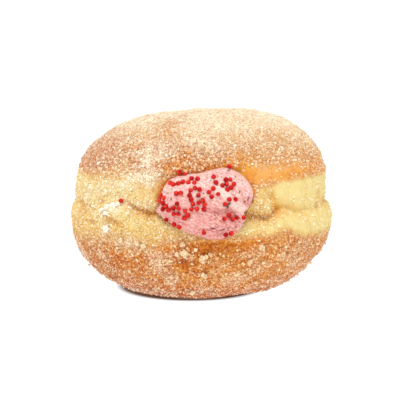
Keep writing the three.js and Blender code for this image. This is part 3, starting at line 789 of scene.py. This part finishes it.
sugar_crystal, sugar_shader = new_material("sugar_crystal", 0.35)
tree = sugar_crystal.node_tree
under, clumping = crust_colour(tree, 0.2)
clearness = ramp(tree, attribute(tree, "tone"), [(0.52, BLACK), (0.72, WHITE)])
whiteness = times(tree, scaled(tree, attribute(tree, "frost"), 0.3, 0.75), clearness)
whiteness = times(tree, whiteness, scaled(tree, clumping, 0.8, 0.3))
where_caked = times(tree, maths(tree, "POWER", attribute(tree, "frost"), 2), 0.2)
whiteness = maths(tree, "ADD", whiteness, where_caked)
sugar_white = blend_colours(tree, attribute(tree, "warmth"), paint(253, 240, 208), paint(255, 228, 168))
tree.links.new(blend_colours(tree, whiteness, under, sugar_white), sugar_shader.inputs["Base Color"])
crystals = grain_tree()
for name, sizes, seed, per_square_metre, least, most in (
    ("sugar_on_crown_front", FINE_SUGAR, 11, FINE_ON_CROWN, (-FAR, -FAR, WAIST), (FAR, PARTING, FAR)),
    ("sugar_on_crown_back", FINE_SUGAR, 12, FINE_ON_CROWN, (-FAR, PARTING, WAIST), (FAR, FAR, FAR)),
    ("sugar_on_base_front", FINE_SUGAR, 13, FINE_ON_BASE, (-FAR, -FAR, FINE_FROM), (FAR, PARTING, WAIST)),
    ("sugar_on_base_back", FINE_SUGAR, 14, FINE_ON_BASE, (-FAR, PARTING, FINE_FROM), (FAR, FAR, WAIST)),
    ("coarse_sugar", COARSE_SUGAR, 15, COARSE_EVERYWHERE, (-FAR, -FAR, COARSE_FROM), (FAR, FAR, FAR)),
):
    piece = new_object(name, bun_mesh.copy())
    grow(piece, crystals, {
        "Per square metre": per_square_metre,
        "Smallest": sizes[0] * 0.001,
        "Largest": sizes[1] * 0.001,
        "Seed": seed,
        "Least": Vector(least) * 0.001,
        "Most": Vector(most) * 0.001,
        "Finish": sugar_crystal,
    })
    piece.data.name = name
    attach(piece, "root")

# ---- Caked sugar flakes ----
# Chips of sugar that caked in the tray and stuck mostly to the base, and pale crumbs of torn dough along the
# seam at the left. A big one is several flat angular chips that lap over each other.
BIG_FLAKES = (  # heading, height, width, tallness, chips
    (-6.5, 20.3, 2.8, 3.0, 9),
    (-9.7, 20.1, 1.2, 1.2, 2),
    (1.5, 18.7, 3.4, 3.2, 11),
    (3.8, 20.3, 1.4, 1.3, 2),
    (-7.8, 23.2, 3.0, 1.3, 4),
    (-1.9, 21.8, 1.5, 1.1, 2),
    (-23.3, 22.0, 2.4, 1.5, 4),
    (-26, 22.6, 1.3, 1.0, 2),
    (-33.9, 22.4, 1.4, 1.2, 2),
    (1.4, 13.2, 2.4, 2.2, 5),
    (-4.1, 6.7, 2.8, 1.9, 5),
    (20.1, 17.2, 1.9, 1.8, 4),
    (24.9, 21.9, 2.6, 2.4, 7),
    (26.8, 9.9, 1.4, 1.4, 2),
    (35.7, 18.6, 1.4, 1.3, 2),
    (-44.2, 31.2, 2.2, 1.6, 5),
    (-41.4, 31.6, 2.8, 2.0, 8),
    (-38.4, 31.9, 2.8, 1.6, 7),
    (-36.0, 31.5, 2.2, 1.3, 4),
    (-40.4, 30.2, 1.8, 1.2, 3),
    (-40.8, 25.6, 2.6, 2.6, 8),
)
CHIP_SIZE, CHIP_SPREAD, CHIP_THICKNESS, LEAST_SCATTER = 1.15, (0.75, 1.3), 0.7, 0.2
CHIP_BLUNTNESS, COARSE_ROUGHNESS, FINE_ROUGHNESS, CHIP_VARIETY = 1.6, 0.75, 0.3, 1.7
SMALL_FLAKES, SMALL_SIZES = 150, (0.4, 0.85)
SMALL_ON_BASE = ((-70, 75), (5, 23))  # headings, heights
SMALL_ON_CROWN = ((-60, -14), (37, 50))
SMALL_IN_SEAM = ((-60, -30), (29, 33))
FLAKE_RISE, FLAKE_RISE_STEP = 0.4, 0.1
TILT_DEGREES, TILT_RISE = 0.5, 0.4  # to the two places near a chip that give it its tilt
CRUMBS_ABOVE = (23.5, 24.5)  # crumbs of dough above these heights, sugar below
FLAKE_SEED = 7


def angular_ball():
    bpy.ops.mesh.primitive_ico_sphere_add(subdivisions=2, radius=1)
    ball = bpy.context.object
    points = np.array([v.co for v in ball.data.vertices])
    faces = [tuple(p.vertices) for p in ball.data.polygons]
    mesh = ball.data
    bpy.data.objects.remove(ball)
    bpy.data.meshes.remove(mesh)
    return points, faces


STEP_FACTOR, STEP_ADDED, STEP_RANGE = 1664525, 1013904223, 2**32


def draws_from(seed):
    """Numbers from 0 to 1 that look random and come out the same every time."""
    state = seed
    while True:
        state = (state * STEP_FACTOR + STEP_ADDED) % STEP_RANGE
        yield state / STEP_RANGE


def chip_places():
    """Heading, height and width of every chip, the big flakes' chips scattered within their outlines."""
    draws = draws_from(FLAKE_SEED)
    found = []
    for at, up, width, tallness, chips in BIG_FLAKES:
        for _ in range(chips):
            turn, reach = next(draws) * math.tau, math.sqrt(next(draws)) / 2
            aside = max(width - CHIP_SIZE, LEAST_SCATTER) * reach * math.cos(turn)
            rise = max(tallness - CHIP_SIZE, LEAST_SCATTER) * reach * math.sin(turn)
            size = CHIP_SIZE * mix(*CHIP_SPREAD, next(draws))
            found.append((at + math.degrees(aside / LOWER_RADIUS), up + rise, size))
    for k in range(SMALL_FLAKES):
        across, up, size = next(draws), next(draws), mix(*SMALL_SIZES, next(draws) ** 2)
        zone_headings, zone_heights = SMALL_ON_BASE if k % 3 else SMALL_ON_CROWN if k % 2 else SMALL_IN_SEAM
        found.append((mix(*zone_headings, across), mix(*zone_heights, up), size))
    return found


ball_points, ball_faces = angular_ball()
blunt_ball = np.column_stack([ball_points[:, :2], np.clip(CHIP_BLUNTNESS * ball_points[:, 2], -1, 1)])
chip_points, chip_faces = [], []
for number, (at, up, width) in enumerate(chip_places()):
    near_headings, near_heights = (at, at + TILT_DEGREES, at), (up, up, up + TILT_RISE)
    place, beside, higher = crust_points(np.array(near_headings), np.array(near_heights))
    across = (beside - place) / np.linalg.norm(beside - place)
    out = np.cross(across, higher - place)
    out = out / np.linalg.norm(out)
    upwards = np.cross(out, across)
    turned = np.roll(ball_points, number % 3, axis=1) + CHIP_VARIETY * number
    rough = 1 + COARSE_ROUGHNESS * noise_at(turned, pitch=0.9, seed=30 + number)
    rough = rough + FINE_ROUGHNESS * noise_at(turned, pitch=0.4, seed=60)
    flat = blunt_ball * rough[:, None] * (width / 2, width / 2, CHIP_THICKNESS * min(width, 1) / 2)
    lifted = place + out * (FLAKE_RISE + FLAKE_RISE_STEP * (number % 3))
    start = len(chip_points) * len(ball_points)
    chip_points.append(lifted + flat @ np.stack([across, upwards, out]))
    chip_faces += [tuple(start + v for v in face) for face in ball_faces]

caked_sugar, flake_shader = new_material("caked_sugar", 0.6)
flakes = mesh_object("sugar_flakes", np.vstack(chip_points), chip_faces, caked_sugar)
flakes.data.shade_flat()
store(flakes.data, "crumb", smoothstep(read_points(flakes.data)[:, 2], *CRUMBS_ABOVE))
tree = caked_sugar.node_tree
sugar_tones = ramp(tree, fine_noise(tree, 900), [(0.35, paint(224, 176, 118)), (0.6, paint(248, 222, 178))])
crumbs = times(tree, attribute(tree, "crumb"), 0.9)
flake_tones = blend_colours(tree, crumbs, sugar_tones, paint(254, 248, 230))
tree.links.new(flake_tones, flake_shader.inputs["Base Color"])
roughen(tree, flake_shader, 2200, 2.0, strength=0.6, depth=0.0003)
soften(flake_shader, 0.2, (1.0, 0.8, 0.6), 0.0008)
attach(flakes, "root")

# ---- The cream ----
# Pink cream with dark flecks of fruit in it, piped in two passes: the upper one overhangs the lower one. It
# bulges out of the slit, laps over the lower lip and fills the pocket behind.
BULGE, EDGE, TUCKED_EDGE, ROUNDNESS, TUCK_STARTS = 4.2, 0.9, -1.8, 2.4, (0.3, 0.75)
RIDGE_X, RIDGE_Z, RIDGE_DROOP = 4, 34.6, 0.05
RIDGE_WAVE, RIDGE_WAVE_PITCH = 0.35, 7
STEP, STEP_REACH, LEFT_STRENGTH = 0.8, 0.9, 0.15
GROOVE, GROOVE_DROP, GROOVE_WIDTH = 0.5, 0.9, 0.7
CREST_HEIGHT, CREST_WIDTH, CREST_START, CREST_END = 0.55, 1.1, (5.0, 40.2), (13.0, 33.0)
CURL, CURL_SHARE, CURL_WIDTH = 0.45, 0.84, 0.045
CURL_DIRECTION, CURL_ENDS = math.radians(24), (0.82, 0.93)
LAP_LIFT, TUCK_DEPTH = 0.1, 3
CREAM_COLUMNS, FACE_ROWS, LAP_ROWS, POCKET_ROWS = 320, 130, 6, 30
FIRST_FACE_ROW, FIRST_LAP_ROW = 0.02, 0.85


def tucked(direction):
    """1 where the cream goes in under the upper lip, and 0 at the sides and over the lower lip."""
    return smoothstep(np.sin(direction), *TUCK_STARTS)


def front_of_crust(x, z):
    """The crust's front before any crease is pressed into it, as a y."""
    radius = plain_radius(z)
    heading = np.degrees(np.arcsin(np.clip(x / radius, -1, 1)))
    radius = radius + swelling(heading, z)
    return -np.sqrt(radius**2 - x**2)


def above_ridge(x, z):
    wave = RIDGE_WAVE * np.sin(2 * np.pi * x / RIDGE_WAVE_PITCH)
    return z - RIDGE_Z - wave + RIDGE_DROOP * np.maximum(x - RIDGE_X, 0) ** 2


def crest(x, z):
    """1 along the crest of the upper pass, which slants down to the right, fading to 0 beside it."""
    return stroke(x, z, CREST_START, CREST_END, CREST_WIDTH)


def cream_height(direction, share, x, z):
    edge = mix(EDGE, TUCKED_EDGE, tucked(direction))
    dome = np.sqrt(np.clip(1 - share**ROUNDNESS, 0, 1))
    above = above_ridge(x, z)
    strength = mix(LEFT_STRENGTH, 1, smoothstep(x, -1, 7))
    step = STEP * smoothstep(above, -STEP_REACH, STEP_REACH)
    groove = GROOVE * bell((above + GROOVE_DROP) / GROOVE_WIDTH)
    return edge + (BULGE - edge + strength * (step - groove) + CREST_HEIGHT * crest(x, z)) * dome


def reached(direction, reach):
    """The x and z that lie a reach away from the slit's middle."""
    return SLIT_X + reach * np.cos(direction), SLIT_Z + reach * np.sin(direction)


def cream_face(direction, share):
    x, z = reached(direction, (slit_radius(direction) + overhang(direction)) * share)
    return np.stack([x, front_of_crust(x, z) - cream_height(direction, share, x, z), z], -1)


def cream_lap(direction, share):
    """From the cream's outer edge back to the slit, laid on the crust below and tucked in above."""
    x, z = reached(direction, slit_radius(direction) + overhang(direction) * share)
    return np.stack([x, front_of_crust(x, z) - LAP_LIFT + tucked(direction) * (TUCK_DEPTH - share), z], -1)


directions = np.linspace(0, 2 * np.pi, CREAM_COLUMNS, endpoint=False)[None, :]
face_share = np.sin(np.linspace(FIRST_FACE_ROW, 1, FACE_ROWS) * np.pi / 2)[:, None]
lap_share = np.linspace(FIRST_LAP_ROW, 0, LAP_ROWS)[:, None]
face_rings = cream_face(directions, face_share)
curl_facing = smoothstep(np.cos(directions - CURL_DIRECTION), *CURL_ENDS)
face_rings[..., 1] += CURL * curl_facing * bell((face_share - CURL_SHARE) / CURL_WIDTH)
cream_rings = np.vstack([
    face_rings,
    cream_lap(directions, lap_share),
    pocket_rings(CREAM_COLUMNS, POCKET_ROWS, 0),
])
cream_middle = cream_face(np.array([0.0]), np.array([0.0]))[0]
cream_points, cream_faces = closed_grid(cream_rings[:, ::-1], cream_middle, cream_rings[-1].mean(0))

pink_cream, cream_shader = new_material("pink_cream", 0.45, shine=0.25)
cream = mesh_object("cream_filling", cream_points, cream_faces, pink_cream)

# Low relief where the cream shows, and how pale it is: palest along the crest of its upper pass, where a
# highlight is painted, with painted light higher up and painted shade lower down and in the groove.
STREAK_TURN = np.array([(0.88, 0, 0.47), (0, 1, 0), (-0.47, 0, 0.88)])
STREAK_SQUEEZE = (0.4, 1, 1.3)
CREAM_LIGHT_AND_SHADE_SPOTS = (  # how much paler, x, z, spread, reach
    (-0.24, 13.9, 35.2, 1.7, 2.1),
    (0.3, 12.9, 30.6, 1.3, 1.7),
)
places = read_points(cream.data)
x, y, z = places.T
streaks = noise_at(places @ STREAK_TURN * STREAK_SQUEEZE, pitch=1.3, seed=5)
soft = noise_at(places, pitch=4.0, seed=6)
pits = noise_at(places, pitch=0.7, seed=9)
visible = smoothstep(-y, 37, 39)
relief = visible * (0.16 * streaks + 0.28 * soft + 0.06 * pits)
write_points(cream.data, places + relief[:, None] * read_vectors(cream.data.vertex_normals, "vector"))
above = above_ridge(x, z)
lower_pass = 1 - smoothstep(above + 0.9 * streaks, -1.4, 1.4)
# Painted light: paler higher up, and a painted highlight along the crest of the upper pass. The streaks are
# the cream's own mottling.
pale_and_painted_light = 0.48 + 0.26 * smoothstep(z, 31, 42) + 0.02 * smoothstep(x, 2, 9) + 0.18 * streaks + 0.6 * crest(x, z)
# Painted shade on the lower pass, which faces down, right of the middle.
pale_and_painted_light -= 0.14 * lower_pass * smoothstep(x, -3, 5)
# A painted highlight just above the ridge, and painted shade in the groove below it.
pale_and_painted_light += 0.06 * bell((above - 1.2) / 1.2) * smoothstep(x, 3, 7)
pale_and_painted_light -= 0.14 * bell((above + GROOVE_DROP) / 0.8) * smoothstep(x, 1, 5)
# One spot of painted shade and one of painted light, at the right of the cream.
for paler, at_x, at_z, spread, reach in CREAM_LIGHT_AND_SHADE_SPOTS:
    pale_and_painted_light += paler * bell(np.hypot((x - at_x) / spread, (z - at_z) / reach))
store(cream.data, "pale_and_painted_light", np.clip(pale_and_painted_light, 0, 1))

# Shreds of dark fruit near the surface, each a short stroke.
FRUIT_SHREDS = (  # x, z, length, slope in degrees, width
    (7.4, 35.3, 1.0, -20, 0.5),
    (8.3, 35.7, 0.8, 40, 0.4),
    (7.9, 34.9, 0.8, -75, 0.4),
    (11.5, 39.1, 0.5, 60, 0.2),
    (14.2, 36.8, 1.1, 65, 0.2),
    (13.1, 36.0, 0.4, 20, 0.2),
    (-8.7, 37.0, 0.6, 70, 0.2),
    (-9.8, 38.6, 0.4, 10, 0.18),
    (3.6, 28.6, 1.2, -10, 0.22),
    (6.4, 28.1, 1.3, 15, 0.2),
    (4.0, 42.3, 0.5, 50, 0.18),
    (8.4, 45.0, 0.5, 0, 0.18),
)
shreds = np.zeros(len(places))
for at_x, at_z, length, slope, width in FRUIT_SHREDS:
    half = np.array([math.cos(math.radians(slope)), math.sin(math.radians(slope))]) * length / 2
    middle = np.array([at_x, at_z])
    shreds = np.maximum(shreds, stroke(x, z, middle - half, middle + half, width))
store(cream.data, "shreds", shreds * visible)

# Streaks drawn out along the upper pass, and a speck of fruit in one cell out of three.
SWIRL_TURN, SWIRL_STRETCH, SWIRL_STRENGTH = (0, math.radians(28), 0), (2.2, 1, 1), 2.2
SWIRL_PER_METRE, SPECKS_PER_METRE, PLAIN_CELLS = 2300, 950, 0.66
tree = pink_cream.node_tree
coordinates = add_node(tree, "ShaderNodeTexCoord").outputs["Object"]
drawn_out = add_node(
    tree, "ShaderNodeMapping", coordinates, vector_type="TEXTURE", Rotation=SWIRL_TURN, Scale=SWIRL_STRETCH
)
streaky = add_node(tree, "ShaderNodeTexNoise", drawn_out.outputs["Vector"], Scale=SWIRL_PER_METRE, Detail=3.0)
swirl = maths(tree, "SUBTRACT", streaky.outputs["Fac"], 0.5)
tone = maths(tree, "ADD", attribute(tree, "pale_and_painted_light"), times(tree, swirl, SWIRL_STRENGTH))
pinks = ramp(tree, tone, [
    (0.0, paint(190, 110, 100)),
    (0.3, paint(222, 144, 135)),
    (0.65, paint(234, 174, 163)),
    (1.0, paint(244, 216, 202)),
])
cells = add_node(tree, "ShaderNodeTexVoronoi", coordinates, Scale=SPECKS_PER_METRE)
near = ramp(tree, cells.outputs["Distance"], [(0.16, WHITE), (0.34, BLACK)])
chosen = add_node(tree, "ShaderNodeSeparateColor", cells.outputs["Color"])
few = maths(tree, "GREATER_THAN", chosen.outputs[0], PLAIN_CELLS)
speck = times(tree, times(tree, near, few), chosen.outputs[1])
speck = maths(tree, "MAXIMUM", speck, attribute(tree, "shreds"))
flecked = blend_colours(tree, speck, pinks, paint(84, 28, 18))
tree.links.new(flecked, cream_shader.inputs["Base Color"])
roughen(tree, cream_shader, 1200, 3.0, strength=0.45, depth=0.0004)
soften(cream_shader, 0.1, (1.0, 0.45, 0.4), 0.0012)

# ---- Red sugar pearls ----
# Hard polished balls of red sugar, a millimetre and a half across. They lie in loose groups where they
# fell on the cream, and a few have dropped onto the crust beside it.
PEARL_RADIUS, PEARL_SHOWING, PEARL_SIZES = 0.74, 0.35, (0.9, 1.08)
PEARL_SPACING, LIP_CLEARANCE, STRAYS_LIFT = 1.86, 0.35, (0, -0.3, 0)
STRAYS = ((-35.2, 32.9), (-9.2, 44.6), (-6.9, 43.9), (12.9, 45.8))  # heading, height
PEARL_GROUPS = (  # x, z, reach across, reach upwards, how many
    (-7.2, 41.8, 2.2, 0.9, 5),
    (-7.0, 38.9, 1.2, 0.6, 2),
    (-2.0, 42.6, 2.2, 1.2, 4),
    (-1.8, 39.2, 2.0, 1.4, 5),
    (-0.9, 36.9, 2.2, 0.8, 3),
    (4.0, 42.2, 1.2, 2.0, 3),
    (8.0, 41.4, 1.9, 1.5, 7),
    (3.6, 38.6, 1.8, 0.9, 4),
    (9.4, 36.2, 2.6, 1.2, 3),
    (-12.4, 37.2, 0.7, 2.2, 4),
    (-10.3, 34.0, 1.0, 0.9, 3),
    (-7.4, 33.9, 1.4, 2.2, 7),
    (-4.5, 32.6, 1.2, 1.2, 3),
    (-0.6, 34.9, 2.4, 1.7, 9),
    (8.9, 31.4, 2.2, 0.9, 4),
    (-10.4, 30.3, 1.2, 0.8, 1),
    (-6.8, 28.6, 1.6, 1.2, 2),
    (1.2, 26.8, 1.0, 0.7, 1),
    (9.2, 26.9, 2.6, 0.7, 2),
    (12.7, 31.4, 0.5, 0.3, 1),
    (-11.7, 37.4, 0.8, 2.4, 2),
)
PEARL_SEED = 29
PEARL_TRIES = 400


def pearl_at(x, z):
    """The middle of a pearl on the cream at x and z, or None where the cream ends or lies under the lip."""
    direction = math.atan2(z - SLIT_Z, x - SLIT_X)
    reach = math.hypot(x - SLIT_X, z - SLIT_Z)
    edge = float(slit_radius(direction)) + float(overhang(direction))
    if reach > edge - (PEARL_RADIUS + LIP_CLEARANCE) * float(tucked(direction)):
        return None
    point = cream_face(np.array([direction]), np.array([reach / edge]))[0]
    point[1] -= PEARL_RADIUS * PEARL_SHOWING
    return point


def pearl_places():
    draws = draws_from(PEARL_SEED)
    found = []
    for middle_x, middle_z, across, upwards, number in PEARL_GROUPS:
        wanted = len(found) + number
        for _ in range(PEARL_TRIES):
            if len(found) == wanted:
                break
            turn, share = next(draws) * math.tau, math.sqrt(next(draws))
            aside, rise = across * share * math.cos(turn), upwards * share * math.sin(turn)
            point = pearl_at(middle_x + aside, middle_z + rise)
            if point is None:
                continue
            if all(np.linalg.norm(point - other) >= PEARL_SPACING * PEARL_RADIUS for other in found):
                found.append(point)
    return found


def pearl_tree():
    group, given, result = node_group(
        "ball on every point",
        "GeometryNodeTree",
        {"Points": "Geometry", "Radius": "Float", "Finish": "Material"},
        {"Balls": "Geometry"},
    )
    given = given.outputs
    ball = add_node(group, "GeometryNodeMeshIcoSphere", Radius=given["Radius"], Subdivisions=3)
    placed = add_node(
        group,
        "GeometryNodeInstanceOnPoints",
        Points=add_node(group, "GeometryNodeMeshToPoints", given["Points"]).outputs["Points"],
        Instance=add_node(group, "GeometryNodeSetShadeSmooth", ball.outputs["Mesh"]).outputs[0],
        Scale=add_node(group, "FunctionNodeRandomValue", *PEARL_SIZES, data_type="FLOAT", Seed=3).outputs[1],
    )
    return finished_group(group, placed.outputs[0], given, result)


pearl_red, pearl_shader = new_material("pearl_red", 0.25, shine=0.12)
strays = crust_points(*np.transpose(STRAYS)) + STRAYS_LIFT
pearls = mesh_object("pearls", [*pearl_places(), *strays], [], pearl_red)
grow(pearls, pearl_tree(), {"Radius": PEARL_RADIUS * 0.001, "Finish": pearl_red})
tree = pearl_red.node_tree
reds = ramp(tree, fine_noise(tree, 600), [
    (0.36, paint(166, 12, 14)),
    (0.5, paint(206, 30, 26)),
    (0.64, paint(228, 58, 40)),
])
tree.links.new(reds, pearl_shader.inputs["Base Color"])

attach(bun, "root")
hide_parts("dough")
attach(cream, "root")
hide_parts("cream")
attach(pearls, "root")
